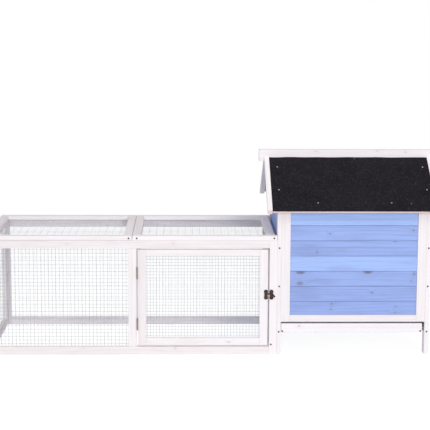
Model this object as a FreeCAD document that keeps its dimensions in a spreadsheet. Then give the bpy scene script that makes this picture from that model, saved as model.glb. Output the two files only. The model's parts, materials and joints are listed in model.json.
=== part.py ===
"""Rabbit hutch: a wire-mesh run with a hinged door and lid, joined to a gabled timber house.

The origin is on the ground, in the middle of the hutch's outline. +X runs from the run to the house,
-Y is the front with the door, and +Z is up. All sizes are millimetres.
"""
import FreeCAD, Part
import math
import os
import re
import Sketcher

SIZES = {
    # overall
    "half_depth": 230, "run_length": 1000, "house_width": 528,
    # softwood framing of the run, and the middle stile's distance from the house
    "frame_top": 402, "stick": 28, "ply": 15, "ground_rail": 29, "mid_stile": 511,
    # top panels, and the split's distance from the house
    "lid_top": 417, "lid_gap": 0.5, "lid_split": 496.5, "split_gap": 1.5, "wall_gap": 8,
    # door, and its edges' distances from the house
    "door_left": 478, "door_right": 31, "door_bottom": 33, "door_top": 370,
    "door_head": 22, "door_foot": 27, "stop_ply": 8, "stop_lap": 6,
    # welded mesh
    "wire": 1.2, "mesh_pitch": 25.4, "mesh_lap": 10,
    # house
    "leg_depth": 40, "wall_top": 511, "sill": 116, "sill_rail": 24, "bead": 0.6,
    "board": 53, "board_base": 135,
    "board_ply": 10, "board_inset": 4, "stile": 30, "doorway_half": 100, "batten": 26,
    # roof
    "roof_rise": 0.6444, "felt_join": 664, "eave": 255, "felt_ply": 3, "roof_ply": 4,
    "beam_half": 14, "beam_bottom": 648, "beam_top": 690, "beam_reach": 54,
    "verge_left": 19, "verge_right": 14, "barge_ply": 17, "barge_deep": 20, "barge_lift": 1,
    # tray
    "tray_bottom": 78, "tray_front_top": 110, "pan_bottom": 84, "pan_lip": 18, "pan_ply": 1,
    "pan_back": 200, "tray_play": 0.3,
    # hinges
    "knuckle": 2.2, "pin": 1.2, "pin_play": 0.05, "pin_out": 3, "leaf_ply": 1.2, "leaf_reach": 16,
    "hinge_half": 20.5, "mid_knuckle": 6.5, "knuckle_play": 0.4,
    # latch, and its pivot's and post's distances from the house
    "plate_ply": 1.2, "pivot": 37.8, "pivot_z": 216, "keeper": 18.8, "post_z": 213,
    "latch_mid": 212.5, "latch_half": 17.5, "plate_half": 7, "rivet": 2.2, "post": 1.8, "ball": 3.2,
    "latch_depth": 7, "arm_gap": 3.2, "arm_ply": 3, "arm_half": 2.4, "hook": 4.6, "tail_length": 10,
    "tail_width": 4, "tail_tilt": 142,
    # screw heads
    "head": 3, "head_ply": 0.8, "nail_head": 2.8,
}

doc = FreeCAD.newDocument("rabbit_hutch")
sheet = doc.addObject("Spreadsheet::Sheet", "Sizes")
for row, (alias, number) in enumerate(SIZES.items(), start=1):
    sheet.set(f"A{row}", alias)
    sheet.set(f"B{row}", str(number))
    sheet.setAlias(f"B{row}", alias)
doc.recompute()

nodes = []


def expression(text):
    """Point every alias in a formula at its cell of the sheet."""
    return re.sub(r"[a-z_]+", lambda word: f"Sizes.{word[0]}" if word[0] in SIZES else word[0], str(text))


def value(text):
    """The number that a formula of aliases gives."""
    return float(sheet.evalExpression(expression(text)))


def place(shape, x, y, z):
    """Bind the three coordinates of an object's placement to formulas."""
    for axis, text in zip("xyz", (x, y, z)):
        shape.setExpression(f"Placement.Base.{axis}", expression(text))


def keep(shape, label):
    """Give an object its node name and list it for export."""
    shape.Label = label
    nodes.append(shape)
    return shape


def stick_between(x, y, z):
    """A straight timber or bar, each of x, y and z being its pair of end formulas."""
    bar = doc.addObject("Part::Box", "Bar")
    for side, (low, high) in zip(("Length", "Width", "Height"), (x, y, z)):
        bar.setExpression(side, expression(f"({high}) - ({low})"))
    place(bar, x[0], y[0], z[0])
    return bar


def rod(direction, radius, length, x, y, z):
    """A cylinder that starts at x, y, z and runs along direction (+X, +Y, -Y or +Z)."""
    cylinder = doc.addObject("Part::Cylinder", "Rod")
    turns = {"+X": (0, 1, 0, 90), "+Y": (1, 0, 0, -90), "-Y": (1, 0, 0, 90), "+Z": (0, 0, 1, 0)}
    ax, ay, az, angle = turns[direction]
    cylinder.Placement = FreeCAD.Placement(
        FreeCAD.Vector(), FreeCAD.Rotation(FreeCAD.Vector(ax, ay, az), angle))
    cylinder.setExpression("Radius", expression(radius))
    cylinder.setExpression("Height", expression(length))
    place(cylinder, x, y, z)
    return cylinder


def group(label, shapes):
    """Several separate solids that share one node."""
    bundle = doc.addObject("Part::Compound", "Group")
    bundle.Links = shapes
    return keep(bundle, label)


def fused(shapes):
    union = doc.addObject("Part::MultiFuse", "Union")
    union.Shapes = shapes
    return union


def cut(base, tool):
    rest = doc.addObject("Part::Cut", "Rest")
    rest.Base = base
    rest.Tool = tool
    return rest


def section(points, x_start, thickness):
    """A PartDesign body: an outline of (y, z) formulas in the YZ plane, padded along +X."""
    body = doc.addObject("PartDesign::Body", "Section")
    plane = next(item for item in body.Origin.OriginFeatures if item.Role == "YZ_Plane")
    sketch = body.newObject("Sketcher::SketchObject", "Outline")
    sketch.AttachmentSupport = [(plane, "")]
    sketch.MapMode = "FlatFace"
    corners = [FreeCAD.Vector(value(y), value(z), 0) for y, z in points]
    for start, end in zip(corners, corners[1:] + corners[:1]):
        sketch.addGeometry(Part.LineSegment(start, end), False)
    for line in range(len(points)):
        sketch.addConstraint(Sketcher.Constraint("Coincident", line, 2, (line + 1) % len(points), 1))
    for line, (y, z) in enumerate(points):
        for kind, text in (("DistanceX", y), ("DistanceY", z)):
            datum = sketch.addConstraint(Sketcher.Constraint(kind, -1, 1, line, 1, value(text)))
            sketch.setExpression(f"Constraints[{datum}]", expression(text))
    pad = body.newObject("PartDesign::Pad", "Pad")
    pad.Profile = sketch
    pad.setExpression("Length", expression(thickness))
    sketch.Visibility = False
    place(body, x_start, 0, 0)
    return body


# ---------------------------------------------------------------- formulas used in several places
RUN_LEFT = "(-(run_length + house_width + beam_reach) / 2)"
HOUSE_LEFT = f"({RUN_LEFT} + run_length)"
HOUSE_RIGHT = f"({HOUSE_LEFT} + house_width)"
SPLIT = f"({HOUSE_LEFT} - lid_split)"
DOOR_LEFT = f"({HOUSE_LEFT} - door_left)"
DOOR_RIGHT = f"({HOUSE_LEFT} - door_right)"
PIVOT_X = f"({HOUSE_LEFT} - pivot)"
POST_X = f"({HOUSE_LEFT} - keeper)"
FRONT_PLY = ("-half_depth", "-half_depth + ply")
BACK_PLY = ("half_depth - ply", "half_depth")
INNER_DEPTH = ("-half_depth + ply", "half_depth - ply")
RAIL_LOW = ("0", "ground_rail")
RAIL_HIGH = ("frame_top - stick", "frame_top")
FULL_HEIGHT = ("0", "frame_top")
LEFT_STILE = (RUN_LEFT, f"{RUN_LEFT} + stick")
MIDDLE_STILE = (f"({HOUSE_LEFT} - mid_stile)", f"({HOUSE_LEFT} - mid_stile + stick)")
RIGHT_STILE = (f"{HOUSE_LEFT} - stick + 2", HOUSE_LEFT)
RAIL_SPAN = (LEFT_STILE[1], RIGHT_STILE[0])


# ---------------------------------------------------------------- run: fixed frames
def run_frames():
    between = (RAIL_LOW[1], RAIL_HIGH[0])
    keep(stick_between(LEFT_STILE, FRONT_PLY, FULL_HEIGHT), "run_front_left_stile")
    keep(stick_between(MIDDLE_STILE, FRONT_PLY, between), "run_front_middle_stile")
    keep(stick_between(RIGHT_STILE, FRONT_PLY, FULL_HEIGHT), "run_front_right_stile")
    keep(stick_between(RAIL_SPAN, FRONT_PLY, RAIL_HIGH), "run_front_top_rail")
    keep(stick_between(RAIL_SPAN, FRONT_PLY, RAIL_LOW), "run_front_bottom_rail")
    group("run_back_stiles", [
        stick_between(LEFT_STILE, BACK_PLY, FULL_HEIGHT),
        stick_between(MIDDLE_STILE, BACK_PLY, between),
        stick_between(RIGHT_STILE, BACK_PLY, FULL_HEIGHT),
    ])
    keep(stick_between(RAIL_SPAN, BACK_PLY, RAIL_HIGH), "run_back_top_rail")
    keep(stick_between(RAIL_SPAN, BACK_PLY, RAIL_LOW), "run_back_bottom_rail")
    end_ply = (RUN_LEFT, f"{RUN_LEFT} + ply")
    front_stile = (INNER_DEPTH[0], f"{INNER_DEPTH[0]} + stick")
    back_stile = (f"{INNER_DEPTH[1]} - stick", INNER_DEPTH[1])
    rail = (front_stile[1], back_stile[0])
    group("run_end_stiles", [stick_between(end_ply, y, FULL_HEIGHT) for y in (front_stile, back_stile)])
    wall_rail = stick_between((f"{HOUSE_LEFT} - ply", HOUSE_LEFT), INNER_DEPTH, RAIL_HIGH)
    group("run_end_rails", [stick_between(end_ply, rail, z) for z in (RAIL_HIGH, RAIL_LOW)] + [wall_rail])


# ---------------------------------------------------------------- run: top panel and lid
def top_frame(prefix, x, bottom, long_end=0):
    """The four timbers of a top panel: two long rails and two short rails between them.

    long_end is how far the long rails run on past the second short rail.
    """
    thickness = (bottom, "lid_top")
    front = ("-half_depth", "-half_depth + stick")
    back = ("half_depth - stick", "half_depth")
    middle = (front[1], back[0])
    long_x = (x[0], f"{x[1]} + {long_end}")
    group(f"{prefix}_long_rails", [stick_between(long_x, y, thickness) for y in (front, back)])
    group(f"{prefix}_short_rails", [
        stick_between((x[0], f"{x[0]} + stick"), middle, thickness),
        stick_between((f"{x[1]} - stick", x[1]), middle, thickness),
    ])


# ---------------------------------------------------------------- welded mesh
def mesh(label, plane, first, second, face):
    """A flat grille: square holes on the mesh pitch through a sheet one wire thick.

    plane is the pair of axes the sheet lies in, first and second are its end formulas along them,
    and face is the lower coordinate along the third axis.
    """
    low = (value(first[0]), value(second[0]))
    high = (value(first[1]), value(second[1]))
    pitch = value("mesh_pitch")
    wire = value("wire")
    side = pitch - wire
    counts = [int((high[k] - low[k] - wire) / pitch) for k in (0, 1)]
    margins = [(high[k] - low[k] - counts[k] * pitch + wire) / 2 for k in (0, 1)]

    def rectangle(u, v, width, height, turn=1):
        loop = [(u, v), (u + width, v), (u + width, v + height), (u, v + height), (u, v)]
        return Part.makePolygon([lift(*corner) for corner in loop[::turn]])

    def lift(u, v):
        spot = {plane[0]: u, plane[1]: v}
        return FreeCAD.Vector(*(spot.get(axis, value(face)) for axis in "XYZ"))

    outside = rectangle(low[0], low[1], high[0] - low[0], high[1] - low[1])
    holes = [
        rectangle(low[0] + margins[0] + i * pitch, low[1] + margins[1] + j * pitch, side, side, -1)
        for i in range(counts[0]) for j in range(counts[1])
    ]
    sheet_face = Part.Face([outside] + holes)
    through = FreeCAD.Vector(*(0 if axis in plane else wire for axis in "XYZ"))
    grille = doc.addObject("Part::Feature", "Mesh")
    grille.Shape = sheet_face.extrude(through)
    keep(grille, label)


def lapped(x):
    """An opening's ends, widened by the lap with which mesh is stapled to its frame."""
    return (f"{x[0]} - mesh_lap", f"{x[1]} + mesh_lap")


def run_meshes():
    height = lapped((RAIL_LOW[1], RAIL_HIGH[0]))
    inside_front = "-half_depth + ply"
    inside_back = "half_depth - ply - wire"
    mesh("run_front_mesh", "XZ", lapped((LEFT_STILE[1], MIDDLE_STILE[0])), height, inside_front)
    mesh("run_back_mesh", "XZ", lapped(RAIL_SPAN), height, inside_back)
    end_opening = (f"{INNER_DEPTH[0]} + stick", f"{INNER_DEPTH[1]} - stick")
    mesh("run_end_mesh", "YZ", lapped(end_opening), height, f"{RUN_LEFT} + ply")


def top_mesh(label, x, bottom):
    """Mesh under a top panel, held inside the run's frames so that the panel can close."""
    x_open = (f"{x[0]} + stick", f"{x[1]} - stick")
    y_open = ("-half_depth + stick", "half_depth - stick")
    mesh(label, "XY", lapped(x_open), lapped(y_open), f"{bottom} - wire")


# ---------------------------------------------------------------- door
def door():
    """The door's four timbers and mesh, and the strip on the frame that it closes against."""
    x = (DOOR_LEFT, DOOR_RIGHT)
    z = ("door_bottom", "door_top")
    across = (f"{x[0]} + stick", f"{x[1]} - stick")
    keep(stick_between((x[0], across[0]), FRONT_PLY, z), "door_hinge_stile")
    keep(stick_between((across[1], x[1]), FRONT_PLY, z), "door_latch_stile")
    opening = ("door_bottom + door_foot", "door_top - door_head")
    keep(stick_between(across, FRONT_PLY, (opening[1], "door_top")), "door_top_rail")
    keep(stick_between(across, FRONT_PLY, ("door_bottom", opening[0])), "door_bottom_rail")
    mesh("door_mesh", "XZ", lapped(across), lapped(opening), "-half_depth + ply")
    stop_x = (f"{DOOR_RIGHT} - stop_lap", f"{HOUSE_LEFT} - ply")
    stop_y = ("-half_depth + ply", "-half_depth + ply + stop_ply")
    keep(stick_between(stop_x, stop_y, (RAIL_LOW[1], RAIL_HIGH[0])), "door_stop")


# ---------------------------------------------------------------- hinges
SEGMENTS = {
    "outer_low": ("-hinge_half", "-mid_knuckle - knuckle_play"),
    "outer_high": ("mid_knuckle + knuckle_play", "hinge_half"),
    "middle": ("-mid_knuckle", "mid_knuckle"),
}


def span(centre, segment):
    low, high = SEGMENTS[segment]
    return (f"{centre} + ({low})", f"{centre} + ({high})")


def hinge_leaf(bar, direction, centre, segments, plate, web, bore):
    """A butt-hinge leaf: a plate, a web and a knuckle for each segment, and a bore for the pin.

    bar(along, part) makes a block from a span along the pin and a cross-section, and direction(span,
    radius) makes a rod on the pin's axis.
    """
    blocks = [bar((f"{centre} - hinge_half", f"{centre} + hinge_half"), plate)]
    for segment in segments:
        along = span(centre, segment)
        blocks.append(bar(along, web))
        blocks.append(direction(along, "knuckle"))
    whole = (f"{centre} - hinge_half - 1", f"{centre} + hinge_half + 1")
    return cut(fused(blocks), direction(whole, bore))


def door_hinges():
    """Two hinges in the gap left of the door, with their knuckles in front of it."""
    pin_x = f"(({MIDDLE_STILE[1]} + {DOOR_LEFT}) / 2)"
    pin_y = "(-half_depth - pin_out)"
    plate_y = ("-half_depth + 0.2", "-half_depth + leaf_reach - 3")
    web_y = (pin_y, plate_y[0])
    frame_x = (MIDDLE_STILE[1], f"{MIDDLE_STILE[1]} + leaf_ply")
    leaf_x = (f"{DOOR_LEFT} - leaf_ply", DOOR_LEFT)
    heights = ("door_bottom + 75", "door_top - 82")

    def block(along, part):
        return stick_between(part[0], part[1], along)

    def round_bar(along, radius):
        return rod("+Z", radius, f"({along[1]}) - ({along[0]})", pin_x, pin_y, along[0])

    outer = ("outer_low", "outer_high")
    group("door_hinge_frame_leaves", [
        hinge_leaf(block, round_bar, z, outer, (frame_x, plate_y), (frame_x, web_y), "pin")
        for z in heights])
    group("door_hinge_door_leaves", [
        hinge_leaf(block, round_bar, z, ("middle",), (leaf_x, plate_y), (leaf_x, web_y), "pin + pin_play")
        for z in heights])
    group("door_hinge_pins", [
        round_bar((f"{z} - hinge_half", f"{z} + hinge_half"), "pin") for z in heights])


def lid_hinges():
    """Two hinges on the back faces of the frame and the lid, with the pin level with the joint."""
    pin_y = "(half_depth + pin_out)"
    pin_z = "(frame_top + lid_gap / 2)"
    plate_y = ("half_depth", "half_depth + leaf_ply")
    low_z = (f"{pin_z} - leaf_reach", f"{pin_z} - pin_out")
    high_z = (f"{pin_z} + pin_out", f"{pin_z} + leaf_reach - 2")
    web_low = (low_z[1], pin_z)
    web_high = (pin_z, high_z[0])
    web_y = ("half_depth", "half_depth + leaf_ply")
    places = (f"({RUN_LEFT} + 110)", f"({SPLIT} - split_gap - 110)")

    def block(along, part):
        return stick_between(along, part[0], part[1])

    def round_bar(along, radius):
        return rod("+X", radius, f"({along[1]}) - ({along[0]})", along[0], pin_y, pin_z)

    outer = ("outer_low", "outer_high")
    group("lid_hinge_frame_leaves", [
        hinge_leaf(block, round_bar, x, outer, (plate_y, low_z), (web_y, web_low), "pin")
        for x in places])
    group("lid_hinge_lid_leaves", [
        hinge_leaf(block, round_bar, x, ("middle",), (plate_y, high_z), (web_y, web_high),
                   "pin + pin_play")
        for x in places])
    group("lid_hinge_pins", [
        round_bar((f"{x} - hinge_half", f"{x} + hinge_half"), "pin") for x in places])


# ---------------------------------------------------------------- latch
PLATE_FACE = "(-half_depth - plate_ply)"


def lobed_plate(x):
    """A latch plate: a waisted strip whose two ends are round lobes."""
    end = "(latch_half - plate_half)"
    return [
        stick_between((f"{x} - plate_half + 1.5", f"{x} + plate_half - 1.5"),
                      (PLATE_FACE, "-half_depth"), (f"latch_mid - {end}", f"latch_mid + {end}")),
        rod("-Y", "plate_half", "plate_ply", x, "-half_depth", f"latch_mid + {end}"),
        rod("-Y", "plate_half", "plate_ply", x, "-half_depth", f"latch_mid - {end}"),
    ]


def latch():
    """A swing latch: its plate and rivet on the door, the keeper's post on the frame, and the arm."""
    rivet = rod("-Y", "rivet", "latch_depth", PIVOT_X, "-half_depth", "pivot_z")
    rivet_head = rod("-Y", "rivet + 1.6", 1.6, PIVOT_X, "-half_depth - latch_depth", "pivot_z")
    keep(fused(lobed_plate(PIVOT_X) + [rivet, rivet_head]), "latch_plate")
    post = rod("-Y", "post", "latch_depth", POST_X, "-half_depth", "post_z")
    keep(fused(lobed_plate(POST_X) + [post]), "latch_keeper")

    arm_back = "(-half_depth - arm_gap)"
    arm_y = (f"({arm_back} - arm_ply)", arm_back)
    through = (f"{arm_y[0]} - 1", f"{arm_back} + 1")
    hub = rod("-Y", "rivet + 2.4", "arm_ply", PIVOT_X, arm_back, "pivot_z")
    hook = rod("-Y", "hook", "arm_ply", POST_X, arm_back, "post_z + 2.5")
    bar = stick_between((PIVOT_X, POST_X), arm_y, ("pivot_z - arm_half", "pivot_z + arm_half"))
    tail = doc.addObject("Part::Box", "Tail")
    for side, text in (("Length", "tail_width"), ("Width", "arm_ply"), ("Height", "tail_length")):
        tail.setExpression(side, expression(text))
    tail.Placement = FreeCAD.Placement(
        FreeCAD.Vector(), FreeCAD.Rotation(FreeCAD.Vector(0, 1, 0), value("tail_tilt")))
    place(tail, f"{POST_X} + 4.4", arm_y[0], "post_z + 4")
    ball = doc.addObject("Part::Sphere", "Ball")
    ball.setExpression("Radius", expression("ball"))
    place(ball, f"{POST_X} + 9.8", f"{arm_back} - 1.7", "post_z - 6.2")
    bore = rod("-Y", "rivet + pin_play", "arm_ply + 2", PIVOT_X, through[1], "pivot_z")
    notch = stick_between((f"{POST_X} - 2.7", f"{POST_X} + 2.3"), through,
                          ("post_z - 8", "post_z + post + 0.5"))
    arm = cut(cut(fused([hub, hook, bar, tail, ball]), bore), notch)
    keep(arm, "latch_arm")


# ---------------------------------------------------------------- house walls
LEG_FRONT = ("-half_depth", "-half_depth + leg_depth")
LEG_BACK = ("half_depth - leg_depth", "half_depth")
WALL_LEFT = (HOUSE_LEFT, f"{HOUSE_LEFT} + ply")
WALL_RIGHT = (f"{HOUSE_RIGHT} - ply", HOUSE_RIGHT)
ROOF_UNDER = "(felt_join - felt_ply - roof_ply)"


def under_roof(y):
    """Height of the roof boards' underside at a distance y from the ridge."""
    return f"({ROOF_UNDER} - ({y} - beam_half) * roof_rise)"


def leg(x, back):
    """A leg whose top is cut to the roof's slope."""
    outer, inner = "half_depth", "(half_depth - leg_depth)"
    sign = "" if back else "-"
    points = [(f"{sign}{outer}", 0), (f"{sign}{inner}", 0), (f"{sign}{inner}", under_roof(inner)),
              (f"{sign}{outer}", under_roof(outer))]
    return section(points, x[0], "ply")


def board_rows(bottom, top):
    """The (low, high) formulas of tongue-and-groove rows between two heights.

    The first row is trimmed to start at bottom, and the last one takes up what is left to top.
    """
    first = math.floor((value(bottom) - value("board_base")) / value("board") + 1e-6)
    last = round((value(top) - value("board_base")) / value("board"))
    rows = []
    for number in range(first, last):
        low = f"(board_base + board * {number})"
        high = f"(board_base + board * {number + 1} - bead)"
        rows.append((low if number > first else bottom, high if number < last - 1 else top))
    return rows


def long_wall(prefix, outer, inner, batten_y):
    """The front or back wall: stiles, sill rail and boards. Its inside batten is made and returned.

    outer, inner and batten_y are the Y ranges of the stiles, the boards and the batten.
    """
    left = (WALL_LEFT[1], f"{WALL_LEFT[1]} + stile")
    right = (f"{WALL_RIGHT[0]} - stile", WALL_RIGHT[0])
    between = (left[1], right[0])
    height = ("sill", "wall_top")
    group(f"{prefix}_stiles", [stick_between(x, outer, height) for x in (left, right)])
    keep(stick_between(between, outer, ("sill", "sill + sill_rail")), f"{prefix}_bottom_rail")
    rows = board_rows("sill + sill_rail", "wall_top")
    group(f"{prefix}_boards", [stick_between(between, inner, z) for z in rows])
    return stick_between(between, batten_y, ("wall_top - batten - 4", "wall_top - 4"))


def gable_outline(x):
    """The solid that a gable wall's boards are trimmed to."""
    low, half = "0", "(half_depth - leg_depth)"
    points = [(f"-{half}", low), (half, low), (half, under_roof(half)), ("beam_half", "beam_bottom"),
              ("-beam_half", "beam_bottom"), (f"-{half}", under_roof(half))]
    return section(points, x, "ply")


def gable_wall(label, x, bottom, doorway):
    """A gable wall's boards; doorway is the pair of heights that it leaves open, or None."""
    half = "(half_depth - leg_depth)"
    boards_x = (f"{x[0]} + (ply - board_ply) / 2", f"{x[1]} - (ply - board_ply) / 2")
    rows = board_rows(bottom, "beam_bottom")
    pieces = []
    for z in rows:
        open_row = doorway and value(doorway[0]) - 1 < value(z[0]) and value(z[1]) < value(doorway[1]) + 1
        if open_row:
            pieces.append(stick_between(boards_x, (f"-{half}", "-doorway_half"), z))
            pieces.append(stick_between(boards_x, ("doorway_half", half), z))
        else:
            pieces.append(stick_between(boards_x, (f"-{half}", half), z))
    trimmed = []
    for piece in pieces:
        common = doc.addObject("Part::Common", "Board")
        common.Base = piece
        common.Tool = gable_outline(x[0])
        trimmed.append(common)
    group(label, trimmed)


def house():
    group("house_front_legs", [leg(x, False) for x in (WALL_LEFT, WALL_RIGHT)])
    group("house_back_legs", [leg(x, True) for x in (WALL_LEFT, WALL_RIGHT)])
    front_batten = long_wall(
        "house_front", FRONT_PLY, ("-half_depth + board_inset", "-half_depth + board_inset + board_ply"),
        ("-half_depth + ply", "-half_depth + 2 * ply"))
    back_batten = long_wall(
        "house_back", BACK_PLY, ("half_depth - board_inset - board_ply", "half_depth - board_inset"),
        ("half_depth - 2 * ply", "half_depth - ply"))
    group("house_battens", [front_batten, back_batten])
    doorway = ("board_base", "board_base + 4 * board")
    gable_wall("house_left_boards", WALL_LEFT, "2", doorway)
    gable_wall("house_right_boards", WALL_RIGHT, "board_base - board", None)


# ---------------------------------------------------------------- roof
def slope(front, top, thickness, lower_cut=0):
    """A roof layer's outline: from the ridge beam's side down to the eave.

    top is its upper surface's height at the ridge beam, and lower_cut slants its lower end.
    """
    sign = "-" if front else ""
    drop = "(eave - beam_half) * roof_rise"
    return [
        (f"{sign}beam_half", top),
        (f"{sign}eave", f"{top} - {drop}"),
        (f"{sign}(eave - {lower_cut})", f"{top} - {thickness} - {drop} + {lower_cut} * roof_rise"),
        (f"{sign}beam_half", f"{top} - {thickness}"),
    ]


def roof():
    verge_x = f"{HOUSE_LEFT} - verge_left"
    cover = "house_width + verge_left + verge_right"
    beam_x = (f"{HOUSE_LEFT} - beam_reach", f"{HOUSE_RIGHT} + beam_reach")
    keep(stick_between(beam_x, ("-beam_half", "beam_half"), ("beam_bottom", "beam_top")), "ridge_beam")
    for side, front in (("front", True), ("back", False)):
        board = section(slope(front, "(felt_join - felt_ply)", "roof_ply"), verge_x, cover)
        keep(board, f"roof_board_{side}")
        felt = section(slope(front, "felt_join", "felt_ply"), verge_x, cover)
        keep(felt, f"roof_felt_{side}")
    places = {"left": f"{verge_x} - barge_ply", "right": f"{HOUSE_RIGHT} + verge_right"}
    for side, x in places.items():
        outline = [slope(front, "(felt_join + barge_lift)", "barge_deep", "barge_deep * 0.46")
                   for front in (True, False)]
        group(f"bargeboards_{side}", [section(points, x, "barge_ply") for points in outline])


def felt_nails():
    """Flat nail heads on the felt, over the gable walls and the front and back walls."""
    tilt = math.degrees(math.atan(value("roof_rise")))
    over_walls = [(x, y) for x in (f"{HOUSE_LEFT} + ply / 2", f"{HOUSE_RIGHT} - ply / 2") for y in (60, 163)]
    over_battens = [(f"{HOUSE_LEFT} + {x}", 221) for x in (138, 390)]
    heads = []
    for x, y in over_walls + over_battens:
        for side in (-1, 1):
            head = doc.addObject("Part::Cylinder", "Head")
            head.setExpression("Radius", expression("nail_head"))
            head.setExpression("Height", expression("head_ply"))
            head.Placement = FreeCAD.Placement(
                FreeCAD.Vector(), FreeCAD.Rotation(FreeCAD.Vector(1, 0, 0), -side * tilt))
            place(head, x, side * y, f"felt_join - ({y} - beam_half) * roof_rise")
            heads.append(head)
    group("felt_nails", heads)


# ---------------------------------------------------------------- tray
def tray():
    front_x = (f"{WALL_LEFT[1]} + 1", f"{WALL_RIGHT[0]} - 8")
    keep(stick_between(front_x, ("-half_depth + 1", "-half_depth + ply"),
                       ("tray_bottom", "tray_front_top")), "tray_front_board")
    pan_x = (f"{WALL_LEFT[1]} + 3", f"{WALL_RIGHT[0]} - 10")
    pan_y = ("-half_depth + ply", "pan_back")
    outside = stick_between(pan_x, pan_y, ("pan_bottom", "pan_bottom + pan_lip"))
    inside = stick_between((f"{pan_x[0]} + pan_ply", f"{pan_x[1]} - pan_ply"),
                           (f"{pan_y[0]} + pan_ply", f"{pan_y[1]} - pan_ply"),
                           ("pan_bottom + pan_ply", "pan_bottom + pan_lip + 1"))
    keep(cut(outside, inside), "tray_pan")
    runner_z = ("tray_bottom", "pan_bottom - tray_play")
    group("tray_runners", [
        stick_between((WALL_LEFT[1], f"{WALL_LEFT[1]} + 15"), INNER_DEPTH, runner_z),
        stick_between((f"{WALL_RIGHT[0]} - 15", WALL_RIGHT[0]), INNER_DEPTH, runner_z),
    ])


# ---------------------------------------------------------------- screw heads
def heads_at(label, face, spots):
    """Pan heads that stand out of a front face at each (x, z)."""
    group(label, [rod("-Y", "head", "head_ply", x, face, z) for x, z in spots])


def screws():
    leg_left = f"{HOUSE_LEFT} + ply / 2"
    leg_right = f"{HOUSE_RIGHT} - ply / 2"
    panel_z = "frame_top + 7"
    heads_at("frame_screws", "-half_depth", [
        (f"{SPLIT} + 15", panel_z), (f"{HOUSE_LEFT} - 11", panel_z),
        (f"{HOUSE_LEFT} - 19", 36), (f"{RUN_LEFT} + 14", 14), (f"{RUN_LEFT} + 14", 388),
        (leg_left, 375), (leg_left, 241), (leg_left, 81), (leg_right, 375), (leg_right, 241), (leg_right, 81),
    ])
    heads_at("lid_screws", "-half_depth", [
        (f"{SPLIT} - 13", panel_z), (f"{RUN_LEFT} + 14", panel_z)])
    heads_at("tray_screws", "-half_depth + 1", [
        (f"{WALL_LEFT[1]} + 5", 83), (f"{WALL_RIGHT[0]} - 14", 83)])
    heads_at("latch_plate_screws", PLATE_FACE, [
        (PIVOT_X, "latch_mid - latch_half + 5"), (PIVOT_X, "latch_mid + latch_half - 5")])


# ---------------------------------------------------------------- assembly
FIXED_PANEL = (SPLIT, f"{HOUSE_LEFT} - wall_gap")
LID = (RUN_LEFT, f"{SPLIT} - split_gap")

run_frames()
top_frame("top_panel", FIXED_PANEL, "frame_top", "wall_gap - lid_gap")
top_frame("lid", LID, "frame_top + lid_gap")
run_meshes()
top_mesh("top_panel_mesh", FIXED_PANEL, "frame_top")
top_mesh("lid_mesh", LID, "frame_top + lid_gap")
door()
door_hinges()
lid_hinges()
latch()
house()
roof()
felt_nails()
tray()
screws()
doc.recompute()

for item in doc.Objects:
    if "Invalid" in item.State or "Error" in item.State:
        raise RuntimeError(f"{item.Label} failed: {item.State}")
for node in nodes:
    if node.Shape.isNull() or not node.Shape.isValid() or not node.Shape.Solids:
        raise RuntimeError(f"{node.Label} has no valid solid")

os.makedirs("parts", exist_ok=True)
for node in nodes:
    node.Shape.exportStep(f"parts/{node.Label}.step")
print(f"{len(nodes)} nodes")
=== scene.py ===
"""The looks of a rabbit hutch: painted timber, mesh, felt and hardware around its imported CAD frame."""

import json
import math
import random

import bmesh
import bpy
from mathutils import Matrix, Vector


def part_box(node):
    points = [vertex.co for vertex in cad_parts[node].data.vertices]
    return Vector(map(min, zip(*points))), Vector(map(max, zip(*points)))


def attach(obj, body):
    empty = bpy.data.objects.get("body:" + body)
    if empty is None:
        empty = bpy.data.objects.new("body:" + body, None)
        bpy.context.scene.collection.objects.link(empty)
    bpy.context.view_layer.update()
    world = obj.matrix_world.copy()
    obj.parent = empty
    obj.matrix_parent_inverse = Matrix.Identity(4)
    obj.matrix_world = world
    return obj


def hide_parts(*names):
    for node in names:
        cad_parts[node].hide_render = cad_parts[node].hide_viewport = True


MM = 0.001

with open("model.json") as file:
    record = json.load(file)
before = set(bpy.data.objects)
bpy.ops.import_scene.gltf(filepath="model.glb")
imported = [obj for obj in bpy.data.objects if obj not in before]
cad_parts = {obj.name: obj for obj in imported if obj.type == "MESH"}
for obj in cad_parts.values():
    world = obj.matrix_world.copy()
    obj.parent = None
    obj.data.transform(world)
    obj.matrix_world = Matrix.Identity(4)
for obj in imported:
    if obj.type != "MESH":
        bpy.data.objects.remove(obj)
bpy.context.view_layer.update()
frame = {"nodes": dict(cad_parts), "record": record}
BODY_OF = {node: body for body, names in frame["record"]["behaviour"]["bodies"].items() for node in names}


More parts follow.
